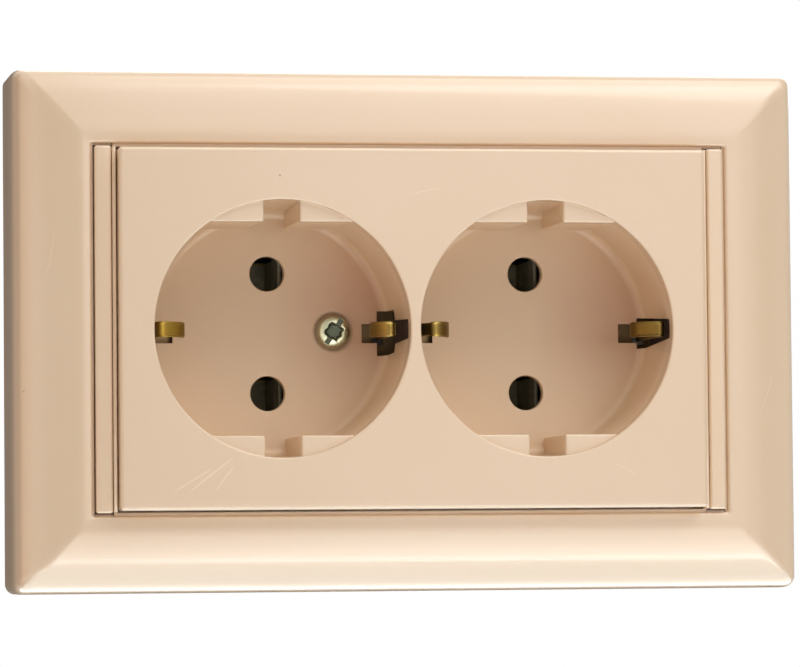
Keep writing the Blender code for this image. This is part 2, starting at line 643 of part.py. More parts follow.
build_cover_frame()
build_trim_strips()
build_socket_cover()
build_cover_screw()
build_earth_parts()
build_mounting_plate()
build_contact_base()
build_rear_cap()
build_contacts()
build_terminals()
build_claws()
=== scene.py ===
"""Looks for a twin earthed wall outlet: fine meshes and procedural materials around the CAD frame.

The outlet stands upright with its face towards -Y and +Z up. Lengths are millimetres unless noted;
shader lengths are metres. Shapes are drawn in a front frame: x right, y up, z out of the wall.
"""
import math

import bmesh
import bpy
from mathutils import Matrix, Vector


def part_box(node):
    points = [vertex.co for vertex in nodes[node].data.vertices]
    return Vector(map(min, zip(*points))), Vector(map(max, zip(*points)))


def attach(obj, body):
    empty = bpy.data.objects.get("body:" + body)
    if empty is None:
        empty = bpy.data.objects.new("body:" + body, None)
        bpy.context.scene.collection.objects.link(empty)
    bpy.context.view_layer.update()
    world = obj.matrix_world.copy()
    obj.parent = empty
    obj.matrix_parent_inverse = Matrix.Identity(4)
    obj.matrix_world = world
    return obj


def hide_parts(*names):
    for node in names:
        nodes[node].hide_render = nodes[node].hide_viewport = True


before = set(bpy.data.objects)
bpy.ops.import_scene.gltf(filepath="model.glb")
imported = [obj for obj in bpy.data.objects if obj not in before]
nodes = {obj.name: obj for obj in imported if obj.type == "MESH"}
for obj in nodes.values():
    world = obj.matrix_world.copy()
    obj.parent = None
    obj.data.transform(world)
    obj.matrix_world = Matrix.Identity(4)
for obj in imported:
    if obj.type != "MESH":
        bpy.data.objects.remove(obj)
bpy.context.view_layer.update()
MM = 0.001

# from drawing axes to world axes
FRONT = Matrix.Rotation(math.pi / 2, 4, "X")  # drawn (x, y, z) of the front frame
SIDE = Matrix.Rotation(math.pi, 4, "X")  # drawn (x, z, -y) of the front frame
ACROSS = Matrix(((0, 0, 1, 0), (0, -1, 0, 0), (1, 0, 0, 0), (0, 0, 0, 1)))  # drawn (y, z, x)


def node_box(name):
    """Spans of a CAD node in the front frame: (x0, x1), (y0, y1), (z0, z1)."""
    lo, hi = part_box(name)
    return (lo.x / MM, hi.x / MM), (lo.z / MM, hi.z / MM), (-hi.y / MM, -lo.y / MM)


# ================================================================ sizes
# cover and frame, read from the CAD nodes
(_, COVER_HALF_W), (_, COVER_HALF_H), (FLOOR_BACK, FACE_Z) = node_box("socket_cover")
(_, FRAME_HALF_W), (_, FRAME_HALF_H), _ = node_box("cover_frame")
BAR = 12.0  # width of the frame's border
OPEN_HALF_W, OPEN_HALF_H = FRAME_HALF_W - BAR, FRAME_HALF_H - BAR
LIP_HALF_W, LIP_HALF_H = 44.4, 26.2  # hole inside the frame's rear lip
LIP_BACK, LIP_FRONT = 13.0, 14.5

# the two wells
WELL_X, WELL_R, RIM_R, CUP_R = 20.85, 19.5, 20.05, 21.1
FLOOR_Z = 4.9
KEY_Y, KEY_NOTCH, KEY_Z = 16.6, 5.7, 21.9  # key's inner edge, gap between keys, front
PIN_Y, PIN_HOLE_R = 9.5, 2.75
RIVET_X = 10.2
SCREW_X, SCREW_Y = (sum(span) / 2 for span in node_box("cover_screw")[:2])

# earth clips: (well centre, direction from it, kind)
CLIP_SITES = [(well_x, side, "outer" if well_x * side > 0 else "inner")
              for well_x in (-WELL_X, WELL_X) for side in (-1, 1)]
CLIP_HALF = 1.2
CLIP_THICK = 0.24  # half thickness
# distances along x are from the well's centre
UPRIGHT_SLOT = {"outer": (18.2, 2.45), "inner": (17.6, 3.55)}  # near end, half width
UPRIGHT_SLOT_FAR = 20.6
TIP_SLOT_NEAR, TIP_SLOT_HALF = 15.15, 1.5
TIP_SLOT_FAR = {"outer": 18.5, "inner": 17.9}
POCKET_NEAR, POCKET_TOP_HALF = 18.2, 1.5
POCKET = {"outer": (20.88, 2.45), "inner": (20.7, 2.05)}  # far wall, half width at the foot
NOTCH_NEAR, NOTCH_FAR, NOTCH_TOP = 18.3, 20.5, 10.4


# ================================================================ shader graphs
class Value:
    """A shader output that can be reckoned with like a number."""

    def __init__(self, graph, socket):
        self.graph, self.socket = graph, socket

    def __getitem__(self, output):
        """Another output of the same node."""
        return Value(self.graph, self.socket.node.outputs[output])

    def __add__(self, other):
        return self.graph.math("ADD", self, other)

    def __sub__(self, other):
        return self.graph.math("SUBTRACT", self, other)

    def __rsub__(self, other):
        return self.graph.math("SUBTRACT", other, self)

    def __mul__(self, other):
        return self.graph.math("MULTIPLY", self, other)

    def __abs__(self):
        return self.graph.math("ABSOLUTE", self)

    def above(self, limit):
        return self.graph.math("GREATER_THAN", self, limit)

    def range(self, source, to=(0.0, 1.0)):
        """Map the source span onto another, held at its ends."""
        return self.graph.add("ShaderNodeMapRange", {
            "Value": self, "From Min": source[0], "From Max": source[1],
            "To Min": to[0], "To Max": to[1]}, interpolation_type=self.graph.easing)


class Graph:
    """An emptied node tree and short ways to fill it."""

    def __init__(self, owner, easing="LINEAR"):
        owner.use_nodes = True
        self.tree = owner.node_tree
        self.tree.nodes.clear()
        self.easing = easing

    def feed(self, socket, value):
        if isinstance(value, Value):
            self.tree.links.new(value.socket, socket)
        elif isinstance(value, tuple) and len(socket.default_value) > len(value):
            socket.default_value = (*value, 1.0)
        else:
            socket.default_value = value

    def add(self, kind, inputs=None, output=0, **settings):
        """Add a node, feed its inputs by name or number and hand back one output."""
        node = self.tree.nodes.new(kind)
        for key, value in settings.items():
            setattr(node, key, value)
        for key, value in (inputs or {}).items():
            self.feed(node.inputs[key], value)
        return Value(self, node.outputs[output])

    def finish(self, kind, shader):
        self.feed(self.tree.nodes.new(kind).inputs[0], shader)

    def math(self, operation, *values):
        return self.add("ShaderNodeMath", dict(enumerate(values)), operation=operation)

    def mix(self, amount, base, over):
        """Colour mix; the colour sockets of the node are 6 and 7 in, 2 out."""
        return self.add("ShaderNodeMix", {0: amount, 6: base, 7: over}, 2, data_type="RGBA")

    def split(self, vector):
        return self.add("ShaderNodeSeparateXYZ", {0: vector})


class Material(Graph):
    """A material around one Principled shader."""

    def __init__(self, name, colour):
        self.material = bpy.data.materials.new(name)
        self.material.diffuse_color = (*colour, 1.0)
        super().__init__(self.material)
        self.surface = self.add("ShaderNodeBsdfPrincipled")
        self.finish("ShaderNodeOutputMaterial", self.surface)
        self.place = self.add("ShaderNodeTexCoord", output="Object")

    def set(self, **inputs):
        """Feed the shader's inputs; an underscore stands for a space."""
        for name, value in inputs.items():
            self.feed(self.surface.socket.node.inputs[name.replace("_", " ")], value)

    def noise(self, scale, detail=3.0, roughness=0.5, distortion=0.0, place=None):
        return self.add("ShaderNodeTexNoise", {
            "Vector": place or self.place, "Scale": scale, "Detail": detail,
            "Roughness": roughness, "Distortion": distortion}, "Fac")

    def cells(self, scale):
        """Distance from each cell's middle, and the cell's random colour split in parts."""
        distance = self.add("ShaderNodeTexVoronoi", {"Vector": self.place, "Scale": scale},
                            "Distance")
        return distance, self.add("ShaderNodeSeparateColor", {0: distance["Color"]})

    def rounded(self, radius):
        """Normal softened over the edges; the radius is in metres."""
        return self.add("ShaderNodeBevel", {"Radius": radius}, samples=3)

    def edge_mask(self, rounded):
        """1 on edges, 0 on flats, from how far the rounded normal leaves the true one."""
        normal = self.add("ShaderNodeNewGeometry", output="Normal")
        dot = self.add("ShaderNodeVectorMath", {0: rounded, 1: normal}, "Value",
                       operation="DOT_PRODUCT")
        return dot.range((0.999, 0.90))

    def bump(self, height, strength, distance, normal):
        return self.add("ShaderNodeBump", {"Strength": strength, "Distance": distance,
                                           "Height": height, "Normal": normal})


def scaled(colour, factor, lift=0.0):
    return tuple(min(1.0, part * factor + lift) for part in colour)


# ================================================================ materials
def scratch_mask(mat, marks):
    """Thin, slightly wavering straight marks on the front."""
    at = mat.split(mat.place)
    waver = mat.noise(scale=220.0, detail=2.0).range((0.0, 1.0), to=(-0.00018, 0.00018))
    total = None
    for x, z, length, angle, half in marks:
        cos, sin = math.cos(math.radians(angle)), math.sin(math.radians(angle))
        right = at["X"] - x * MM
        up = at["Z"] - z * MM
        along = right * cos + up * sin
        aside = (up * cos - right * sin) + waver
        mark = (abs(along).range((length * MM * 0.25, length * MM * 0.5), to=(1.0, 0.0))
                * abs(aside).range((0.0, half * MM), to=(1.0, 0.0)))
        total = mark if total is None else mat.math("MAXIMUM", total, mark)
    return total


def paint_well_shading(mat, colour):
    """Well floors: painted shade, browner to the right in each well, and painted light, paler
    towards the bottom.
    """
    spot = mat.add("ShaderNodeTexCoord", output="Object")
    at, facing = mat.split(spot), mat.split(spot["Normal"])
    floor = (at["Y"].range((-0.0100, -0.0085))
             * facing["Y"].range((-0.9, -0.6), to=(1.0, 0.0)))
    # sign of x picks the well; the node ignores its second input
    from_middle = at["X"] - mat.math("SIGN", at["X"], 0.0) * (WELL_X * MM)
    # painted shade: browner towards the right wall of each well
    brown = (from_middle.range((0.001, 0.013))
             * at["Z"].range((-0.011, -0.001), to=(0.0, 0.34))
             * at["Z"].range((0.006, 0.014), to=(1.0, 0.70)))
    colour = mat.mix(floor * brown, colour, (0.38, 0.05, 0.0))
    # painted light: paler towards the bottom of each floor and in the right-hand well
    pale = (at["Z"].range((-0.015, -0.001), to=(0.45, 0.0))
            + at["X"].range((0.0, 0.001), to=(0.0, 0.14)))
    return mat.mix(floor * pale, colour, (1.0, 0.82, 0.62))


def ivory(name, colour, deep, marks=(), roughness=0.24, wells=False):
    """Glossy moulded plastic with dust specks, smudges and pale edges, partly wear and partly
    painted highlight.
    """
    mat = Material(name, colour)
    broad = mat.noise(scale=26.0, roughness=0.55)
    fine = mat.noise(scale=1900.0, detail=2.0)
    yellowed = tuple(part * keep for part, keep in zip(colour, (0.985, 0.972, 0.955)))
    col = mat.mix(broad.range((0.35, 0.7)), colour, yellowed)
    col = mat.mix(fine.range((0.3, 0.7), to=(0.0, 0.05)), col, deep)
    # sparse dark specks
    distance, chance = mat.cells(scale=330.0)
    speck = chance["Red"].above(0.985) * distance.range((0.03, 0.09), to=(1.0, 0.0))
    col = mat.mix(speck * 0.55, col, scaled(deep, 0.32))
    smudge = mat.noise(scale=60.0, detail=4.0, roughness=0.6, distortion=0.6)
    rough = smudge.range((0.3, 0.75), to=(roughness - 0.008, roughness + 0.014)) + fine * 0.03
    if marks:
        scratches = scratch_mask(mat, marks)
        col = mat.mix(scratches * 0.5, col, scaled(colour, 1.25, lift=0.03))
        rough = rough + scratches * 0.3
    rounded = mat.rounded(radius=0.00022)
    # pale edges: wear and painted highlight
    col = mat.mix(mat.edge_mask(rounded) * 0.5, col, scaled(colour, 1.22))
    coat = 0.45
    if wells:
        # the well floors get painted shade and painted light
        col = paint_well_shading(mat, col)
        # the bottoms of the wells are duller than the polished front
        depth = mat.split(mat.add("ShaderNodeTexCoord", output="Object"))["Y"]
        polish = depth.range((-0.0205, -0.0195), to=(1.0, 0.0))
        coat = polish * coat
        mat.set(Specular_IOR_Level=polish.range((0.0, 1.0), to=(0.22, 0.5)))
    peel = mat.noise(scale=520.0, detail=2.0) + mat.noise(scale=60.0, detail=2.0) * 0.6
    normal = mat.bump(peel, strength=0.10, distance=0.00002, normal=rounded)
    if marks:
        normal = mat.bump(scratches, strength=0.35, distance=-0.00003, normal=normal)
    mat.set(Base_Color=col, Roughness=rough, IOR=1.5, Subsurface_Weight=0.06,
            Subsurface_Radius=(1.0, 0.6, 0.35), Subsurface_Scale=0.0012,
            Coat_Weight=coat, Coat_Roughness=0.07, Normal=normal, Coat_Normal=normal)
    return mat.material


def metal(name, colour, dark, roughness=0.34, grain=(1, 1, 1), grain_scale=900.0, grain_bump=0.12,
          tint=None, edge_highlight=0.35, spangle=0.0, dirt=0.5, cloud=1.0):
    """Grained metal in dull patches; grain stretches the texture, cloud spreads the roughness."""
    mat = Material(name, colour)
    stretched = mat.add("ShaderNodeMapping", {"Vector": mat.place, "Scale": grain})
    fine = mat.noise(scale=grain_scale, roughness=0.6, place=stretched)
    patch = mat.noise(scale=180.0, detail=4.0, roughness=0.62, distortion=0.4)
    col = mat.mix(patch.range((0.38, 0.68), to=(0.0, dirt)), colour, dark)
    if tint:
        tinted = mat.noise(scale=420.0, detail=2.0).range((0.45, 0.65), to=(0.0, 0.55))
        col = mat.mix(tinted, col, tint)
    col = mat.mix(fine.range((0.3, 0.7), to=(0.0, 0.22)), col, dark)
    rough = (patch.range((0.3, 0.7), to=(roughness - 0.06 * cloud, roughness + 0.12 * cloud))
             + fine.range((0.3, 0.7), to=(-0.03, 0.05)))
    if spangle:
        chance = mat.cells(scale=260.0)[1]
        col = mat.mix(chance["Red"] * spangle, col, dark)
        rough = rough + chance["Green"].range((0.0, 1.0), to=(-0.05, 0.10))
    rounded = mat.rounded(radius=0.0002)
    # paler edges: painted highlight
    col = mat.mix(mat.edge_mask(rounded) * edge_highlight, col, scaled(colour, 1.5, lift=0.05))
    normal = mat.bump(fine, strength=grain_bump, distance=0.00002, normal=rounded)
    normal = mat.bump(patch, strength=0.12, distance=0.00004, normal=normal)
    mat.set(Base_Color=col, Metallic=1.0, Roughness=rough, Normal=normal)
    return mat.material


def thermoset(name, colour, fleck, roughness=0.42):
    """Matt, cloudy moulding compound with small flecks."""
    mat = Material(name, colour)
    distance, chance = mat.cells(scale=1500.0)
    flecks = chance["Red"].above(0.86) * distance.range((0.1, 0.45), to=(1.0, 0.0))
    cloud = mat.noise(scale=90.0, detail=4.0, roughness=0.6)
    col = mat.mix(cloud.range((0.35, 0.7)), colour, scaled(colour, 1.35))
    col = mat.mix(flecks * 0.5, col, fleck)
    rounded = mat.rounded(radius=0.0003)
    # paler edges: painted highlight
    col = mat.mix(mat.edge_mask(rounded) * 0.4, col, scaled(colour, 1.9, lift=0.02))
    rough = mat.noise(scale=300.0).range((0.3, 0.7), to=(roughness - 0.08, roughness + 0.12))
    pits = mat.noise(scale=1400.0, roughness=0.6)
    mat.set(Base_Color=col, Roughness=rough,
            Normal=mat.bump(pits, strength=0.22, distance=0.00003, normal=rounded))
    return mat.material


IVORY, IVORY_DEEP = (0.80, 0.615, 0.435), (0.68, 0.48, 0.30)
# scratches: x, height, length, angle in degrees, half width
FACE_MARKS = [(-32.2, -22.6, 9.0, 38, 0.16), (-35.0, -23.4, 7.0, 30, 0.13),
              (-30.2, -23.2, 5.0, 52, 0.12), (-37.5, 2.3, 3.0, 60, 0.08),
              (33.0, -22.0, 5.0, -24, 0.05), (2.0, 21.5, 6.0, 12, 0.05)]
FRAME_MARKS = [(-56.5, 12.0, 8.0, 80, 0.05), (20.0, -36.0, 9.0, 8, 0.05),
               (57.0, -10.0, 6.0, 70, 0.05)]
CLIP_GRAIN = dict(grain=(1, 0.12, 1), grain_scale=1500.0, grain_bump=0.16)
BAR_GRAIN = dict(grain=(0.08, 1, 1), grain_scale=1400.0, grain_bump=0.14)

M_FACE = ivory("ivory_face", IVORY, IVORY_DEEP, FACE_MARKS, wells=True)
M_FRAME = ivory("ivory_frame", IVORY, IVORY_DEEP, FRAME_MARKS, roughness=0.22)
M_TRIM = ivory("ivory_trim", scaled(IVORY, 1.03), IVORY_DEEP, roughness=0.22)
M_CLIP = metal("spring_brass", (0.225, 0.15, 0.040), (0.12, 0.07, 0.018),
               roughness=0.36, **CLIP_GRAIN)
# a darker copy of the spring brass as painted shade, for the right-hand well's outer clip
M_CLIP_SHADED = metal("spring_brass_painted_shade", (0.155, 0.100, 0.024), (0.09, 0.052, 0.012),
                    roughness=0.40, **CLIP_GRAIN)
# a brighter copy of the spring brass as painted light, for the left-hand well's outer clip
M_CLIP_LIT = metal("spring_brass_painted_light", (0.27, 0.166, 0.027), (0.17, 0.095, 0.015),
                    roughness=0.44, **CLIP_GRAIN)
# the strap's brass is darkened as painted shade, for the dark seen through the clip slots
M_STRAP_SHADE = metal("brass_painted_shade", (0.16, 0.105, 0.05), (0.06, 0.035, 0.02),
                roughness=0.45, edge_highlight=0.2, **BAR_GRAIN)
# near-black painted shade for the insides of the clip slots and pockets
M_SLOT_SHADE = thermoset("slot_painted_shade", (0.040, 0.024, 0.018), (0.08, 0.05, 0.035), roughness=0.6)
# zinc darkened as painted shade for the inside of the screw's recess
M_RECESS_SHADE = metal("recess_zinc_painted_shade", (0.075, 0.08, 0.056), (0.03, 0.031, 0.021),
                 roughness=0.5, edge_highlight=1.6)
M_JAW = metal("contact_brass", (0.62, 0.56, 0.40), (0.38, 0.33, 0.22), roughness=0.55,
              grain=(1, 0.12, 1), grain_scale=1200.0, dirt=0.4)
M_BRASS = metal("busbar_brass", (0.66, 0.48, 0.19), (0.36, 0.23, 0.07), **BAR_GRAIN)
M_ZINC = metal("zinc_yellow_green", (0.52, 0.52, 0.37), (0.28, 0.27, 0.18), roughness=0.32,
               tint=(0.50, 0.55, 0.33), edge_highlight=0.6)
M_STEEL = metal("galvanised_sheet", (0.40, 0.41, 0.42), (0.31, 0.32, 0.335), roughness=0.46,
                spangle=0.22, dirt=0.10, cloud=0.15)
M_BASE = thermoset("dark_thermoset", (0.082, 0.074, 0.068), (0.13, 0.12, 0.11))
M_CAP = thermoset("grey_thermoset", (0.15, 0.146, 0.14), (0.20, 0.20, 0.19), roughness=0.48)


# ================================================================ mesh helpers
def dress(mesh, material, smooth_angle):
    mesh.materials.clear()
    mesh.materials.append(material)
    mesh.shade_smooth()
    mesh.set_sharp_from_angle(angle=math.radians(smooth_angle))


def add_object(name, data):
    ob = bpy.data.objects.new(name, data)
    bpy.context.scene.collection.objects.link(ob)
    return ob


def add_piece(name, mesh, material, body, replaces, smooth_angle, weighted=True):
    """Make a finished piece that rides on a body and stands in for a CAD node."""
    ob = add_object(name, mesh)
    dress(mesh, material, smooth_angle)
    if weighted:
        normals = ob.modifiers.new("normals", "WEIGHTED_NORMAL")
        normals.keep_sharp = True
        normals.weight = 80
    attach(ob, body)
    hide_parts(replaces)
    return ob


def raw_mesh(bm, name="piece"):
    mesh = bpy.data.meshes.new(name)
    bm.to_mesh(mesh)
    bm.free()
    return mesh


def to_mesh(bm, matrix=FRONT):
    """Mesh with outward normals, turned from drawing axes to world axes."""
    bmesh.ops.recalc_face_normals(bm, faces=bm.faces)
    mesh = raw_mesh(bm)
    mesh.transform(matrix)
    return mesh


def drop(ob):
    data = ob.data
    bpy.data.objects.remove(ob, do_unlink=True)
    if isinstance(data, bpy.types.Curve):
        bpy.data.curves.remove(data)
    elif data.users == 0:
        bpy.data.meshes.remove(data)


def evaluated(ob):
    """Mesh of an object with its modifiers applied; the object is dropped."""
    bpy.context.view_layer.update()
    depsgraph = bpy.context.evaluated_depsgraph_get()
    mesh = bpy.data.meshes.new_from_object(ob.evaluated_get(depsgraph))
    drop(ob)
    return mesh


def bevelled(mesh, width, segments=2, angle=30.0):
    ob = add_object("bevelled", mesh)
    bevel = ob.modifiers.new("bevel", "BEVEL")
    bevel.width = width * MM
    bevel.segments = segments
    bevel.limit_method = "ANGLE"
    bevel.angle_limit = math.radians(angle)
    bevel.use_clamp_overlap = True
    return evaluated(ob)


def span_of(mesh):
    """Width of a mesh along each axis, in metres."""
    if not mesh.vertices:
        return (0.0, 0.0, 0.0)
    return tuple(max(v.co[i] for v in mesh.vertices) - min(v.co[i] for v in mesh.vertices)
                 for i in range(3))


def boolean(mesh, *steps):
    """Apply (operation, mesh) steps; one that loses part of the body is redone by MANIFOLD."""
    for operation, tool in steps:
        before = span_of(mesh)
        for solver in ("EXACT", "MANIFOLD"):
            body = add_object("body", mesh.copy())
            other = add_object("tool", tool.copy())
            modifier = body.modifiers.new("boolean", "BOOLEAN")
            modifier.operation = operation
            modifier.solver = solver
            modifier.object = other
            result = evaluated(body)
            drop(other)
            if all(new > old - 0.9 * MM for old, new in zip(before, span_of(result))):
                break
        mesh = result
    bm = bmesh.new()
    bm.from_mesh(mesh)
    bmesh.ops.remove_doubles(bm, verts=bm.verts, dist=1e-6)
    bmesh.ops.dissolve_degenerate(bm, edges=bm.edges, dist=1e-6)
    bm.to_mesh(mesh)
    bm.free()
    return mesh


def cut(mesh, *cutters):
    return boolean(mesh, *(("DIFFERENCE", cutter) for cutter in cutters))


def joined(meshes):
    bm = bmesh.new()
    for mesh in meshes:
        bm.from_mesh(mesh)
        bpy.data.meshes.remove(mesh)
    return raw_mesh(bm)


def quad_band(bm, first, second):
    """Quads between two closed loops of vertices."""
    for i in range(len(first)):
        j = (i + 1) % len(first)
        bm.faces.new((first[i], first[j], second[j], second[i]))


def spun_band(bm, upper, lower, segments):
    """Faces between two rings, either of which may be a single point."""
    for i in range(segments):
        j = (i + 1) % segments
        if len(upper) == 1:
            bm.faces.new((upper[0], lower[i], lower[j]))
        elif len(lower) == 1:
            bm.faces.new((upper[i], lower[0], upper[j]))
        else:
            bm.faces.new((upper[i], lower[i], lower[j], upper[j]))


def ring_verts(bm, at, radii, z):
    """Ring about a point, with one radius for each vertex."""
    steps = [(r, 2 * math.pi * i / len(radii)) for i, r in enumerate(radii)]
    return [bm.verts.new(((at[0] + r * math.cos(a)) * MM, (at[1] + r * math.sin(a)) * MM, z * MM))
            for r, a in steps]


def prism(outline, start, end, matrix=FRONT):
    """Flat outline given thickness from start to end along its normal."""
    curve = bpy.data.curves.new("outline", "CURVE")
    curve.dimensions = "2D"
    curve.fill_mode = "BOTH"
    curve.extrude = abs(end - start) / 2 * MM
    spline = curve.splines.new("POLY")
    spline.points.add(len(outline) - 1)
    for point, (x, y) in zip(spline.points, outline):
        point.co = (x * MM, y * MM, 0.0, 1.0)
    spline.use_cyclic_u = True
    mesh = evaluated(add_object("outline", curve))
    bm = bmesh.new()
    bm.from_mesh(mesh)
    bpy.data.meshes.remove(mesh)
    bmesh.ops.remove_doubles(bm, verts=bm.verts, dist=2e-6)
    bmesh.ops.translate(bm, verts=bm.verts, vec=(0, 0, (start + end) / 2 * MM))
    bmesh.ops.dissolve_limit(bm, angle_limit=math.radians(0.1), verts=bm.verts, edges=bm.edges)
    return to_mesh(bm, matrix)


def turned(profile, segments=64, closed=False, at=(0.0, 0.0)):
    """Surface of revolution about z through a point; the profile is (radius, z)."""
    bm = bmesh.new()
    rings = []
    for radius, z in profile:
        if radius < 1e-6:
            rings.append([bm.verts.new((at[0] * MM, at[1] * MM, z * MM))])
        else:
            rings.append(ring_verts(bm, at, [radius] * segments, z))
    pairs = list(zip(rings, rings[1:]))
    if closed:
        pairs.append((rings[-1], rings[0]))
    for upper, lower in pairs:
        spun_band(bm, upper, lower, segments)
    return to_mesh(bm)


def arc(x, y, radius, start, end, steps):
    angles = [math.radians(start + (end - start) * i / steps) for i in range(steps + 1)]
    return [(x + radius * math.cos(a), y + radius * math.sin(a)) for a in angles]


def rounded_rect(half_w, half_h, radius, steps):
    x, y = half_w - radius, half_h - radius
    corners = ((x, y, 0), (-x, y, 90), (-x, -y, 180), (x, -y, 270))
    return [point for cx, cy, start in corners
            for point in arc(cx, cy, radius, start, start + 90, steps)]


def box(x_span, y_span, z_span):
    """Block in the front frame; each span may be given either way round."""
    (x0, x1), (y0, y1), (z0, z1) = map(sorted, (x_span, y_span, z_span))
    size = Vector((x1 - x0, y1 - y0, z1 - z0)) * MM
    middle = Vector((x0 + x1, y0 + y1, z0 + z1)) * (MM / 2)
    bm = bmesh.new()
    matrix = Matrix.Translation(middle) @ Matrix.Diagonal((*size, 1.0))
    bmesh.ops.create_cube(bm, size=1.0, matrix=matrix)
    return to_mesh(bm)


def loft(rings, steps, closed=True):
    """Skin over rounded rectangles (half width, half height, corner radius, z).

    A closed loft joins its last ring to the first; an open one is capped.
    """
    bm = bmesh.new()
    loops = [[bm.verts.new((x * MM, y * MM, z * MM))
              for x, y in rounded_rect(half_w, half_h, radius, steps)]
             for half_w, half_h, radius, z in rings]
    for first, second in zip(loops, loops[1:]):
        quad_band(bm, first, second)
    if closed:
        quad_band(bm, loops[-1], loops[0])
    else:
        bm.faces.new(loops[0])
        bm.faces.new(loops[-1])
    return to_mesh(bm)


def smooth_path(points, step):
    """Catmull-Rom curve through the points, sampled about every step."""
    p = [Vector(point) for point in points]
    p = [p[0] * 2 - p[1]] + p + [p[-1] * 2 - p[-2]]
    path = []
    for before, start, end, after in zip(p, p[1:], p[2:], p[3:]):
        samples = max(1, int(round((end - start).length / step)))
        for k in range(samples):
            t = k / samples
            path.append(0.5 * ((2 * start) + (end - before) * t
                               + (2 * before - 5 * start + 4 * end - after) * t * t
                               + (3 * start - before - 3 * end + after) * t ** 3))
    path.append(p[-2])
    return path


def with_normals(path):
    """Each point of a flat path with the unit normal on its left."""
    out = []
    for i, point in enumerate(path):
        along = (path[min(i + 1, len(path) - 1)] - path[max(i - 1, 0)]).normalized()
        out.append((point, Vector((-along.y, along.x))))
    return out


def ramp(value):
    return min(1.0, max(0.0, value))


# ================================================================ cover frame
# (distance out from the opening's edge, z) over the front and down the outside
FRAME_FRONT = [(0.45, 19.58), (1.6, 19.6), (3.0, 19.5), (6.0, 19.1), (8.5, 18.5), (10.2, 17.7),
               (11.1, 16.8), (11.6, 15.6), (11.85, 14.0), (11.95, 12.1), (12.0, 9.6), (12.0, 4.0),
               (12.0, 0.35)]
# the same columns, up the inside of the border to the back of the lip
FRAME_INSIDE = [(10.35, 0.0), (10.2, 0.15), (10.2, 5.0), (10.2, 10.5), (10.1, 13.2), (9.8, 14.8),
                (9.2, 15.9), (8.2, 16.7), (6.6, 17.15), (4.0, 17.5), (1.9, 17.7), (1.6, 17.5),
                (1.6, LIP_BACK + 0.25), (1.35, LIP_BACK)]


def frame_shell():
    outside = [(0.0, 18.4), (0.0, 19.1)] + arc(0.42, 19.16, 0.42, 180, 100, 5)
    outside += [tuple(point) for point in smooth_path(FRAME_FRONT, 0.45)]
    outside += [(11.9, 0.1), (11.65, 0.0)]
    rings = [(OPEN_HALF_W + d, OPEN_HALF_H + d, 0.4 + 0.10 * d, z) for d, z in outside]
    rings += [(OPEN_HALF_W + d, OPEN_HALF_H + d, 0.3 + 0.05 * d, z) for d, z in FRAME_INSIDE]
    rings += [(LIP_HALF_W + 0.2, LIP_HALF_H + 0.2, 0.7, LIP_BACK),
              (LIP_HALF_W, LIP_HALF_H, 0.6, LIP_BACK + 0.2),
              (LIP_HALF_W, LIP_HALF_H, 0.6, LIP_FRONT - 0.2),
              (LIP_HALF_W + 0.2, LIP_HALF_H + 0.2, 0.7, LIP_FRONT),
              (OPEN_HALF_W - 0.2, OPEN_HALF_H - 0.2, 0.35, LIP_FRONT),
              (OPEN_HALF_W, OPEN_HALF_H, 0.4, LIP_FRONT + 0.2)]
    return loft(rings, 10)


def frame_ribs():
    """Ribs standing on the lip between the opening's edge and the cover."""
    foot = LIP_FRONT - 0.1
    edge_x, edge_y = OPEN_HALF_W + 0.1, OPEN_HALF_H + 0.1
    ribs = [loft([(46.93, edge_y, 0.3, foot), (46.93, edge_y, 0.3, 18.65),
                  (46.85, OPEN_HALF_H, 0.3, 18.75), (46.62, 28.42, 0.3, 18.75),
                  (46.54, 28.34, 0.3, 18.65), (46.54, 28.34, 0.3, foot)], 4)]
    for sx in (-1, 1):
        ribs.append(box((sx * 49.95, sx * edge_x), (-edge_y, edge_y), (foot, 18.85)))
        ribs.append(bevelled(box((sx * 46.5, sx * 47.08), (-28.3, 28.3), (foot, 20.2)), 0.12))
        for sy in (-1, 1):
            ribs.append(box((sx * 47.0, sx * 49.9), (sy * 28.6, sy * edge_y), (foot, 18.4)))
    return joined(ribs)


add_piece("cover_frame_shell", frame_shell(), M_FRAME, "front_frame", "cover_frame",
          42)
add_piece("cover_frame_ribs", frame_ribs(), M_FRAME, "front_frame", "cover_frame",
          35, weighted=False)

# ================================================================ trim strips
for hand in ("left", "right"):
    strip = bevelled(box(*node_box("trim_strip_" + hand)), 0.38, 4)
    add_piece(f"trim_{hand}_insert", strip, M_TRIM, "trim_" + hand, "trim_strip_" + hand,
              40)


# ================================================================ socket cover
def cover_plate():
    """Solid plate with a rounded front edge."""
    edge = 0.55
    rings = [(COVER_HALF_W, COVER_HALF_H, edge, LIP_FRONT + 0.3)]
    for i in range(7):
        angle = math.radians(90.0 * i / 6)
        reach = edge * math.cos(angle)
        rings.append((COVER_HALF_W - edge + reach, COVER_HALF_H - edge + reach,
                      max(0.12, reach), FACE_Z - edge + edge * math.sin(angle)))
    return loft(rings, 8, closed=False)


def plate_hollow():
    wall = 1.6
    x, y = COVER_HALF_W - wall, COVER_HALF_H - wall
    return box((-x, x), (-y, y), (LIP_FRONT - 1.0, FACE_Z - 2.0))


def cup(well_x):
    """Solid drum behind the face, later hollowed into a well."""
    profile = [(0.0, FACE_Z - 1.2), (CUP_R, FACE_Z - 1.2), (CUP_R, FLOOR_BACK + 0.5)]
    profile += arc(CUP_R - 0.5, FLOOR_BACK + 0.5, 0.5, 0, -90, 4)[1:] + [(0.0, FLOOR_BACK)]
    return turned(profile, 160, at=(well_x, 0.0))


